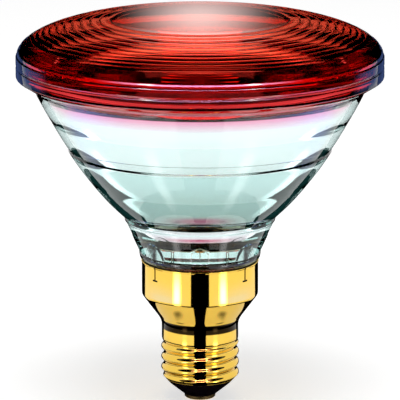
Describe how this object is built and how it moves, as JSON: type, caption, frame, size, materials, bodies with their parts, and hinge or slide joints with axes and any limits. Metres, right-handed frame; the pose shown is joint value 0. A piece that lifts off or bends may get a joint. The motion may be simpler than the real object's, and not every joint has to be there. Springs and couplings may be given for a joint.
{
  "type": "infrared heat lamp bulb",
  "caption": "Infrared heat lamp: red ringed glass lens on a silvered pressed-glass reflector with a skirted brass screw cap.",
  "frame": {"origin": "centre of the outer face of the centre contact, on the lamp's axis", "axes": "+Z along the lamp's axis from the cap towards the lens, -Y towards the camera of the picture"},
  "size_m": [0.122, 0.122, 0.1309],
  "materials": {
    "cap_brass": "polished",
    "contact_brass": "satin",
    "insulator_glass": "gloss",
    "solder": "satin",
    "clear_glass": "gloss",
    "mirror_film": "mirror",
    "red_glass": "gloss",
    "tungsten": "satin",
    "lead_wire": "satin",
    "ferrule_metal": "satin"
  },
  "bodies": {
    "root": {"cap_shell": "cap_brass", "cap_insulator": "insulator_glass", "contact_plate": "contact_brass", "solder_tip": "solder", "reflector_glass": "clear_glass", "mirror_coating": "mirror_film", "front_lens": "red_glass", "filament": "tungsten", "lead_post_left": "lead_wire", "lead_post_right": "lead_wire", "ferrule_left": "ferrule_metal", "ferrule_right": "ferrule_metal", "glass_bridge": "clear_glass", "filament_hook": "lead_wire", "exhaust_tube": "clear_glass", "centre_wire": "lead_wire", "shell_wire": "lead_wire"}
  },
  "joints": []
}
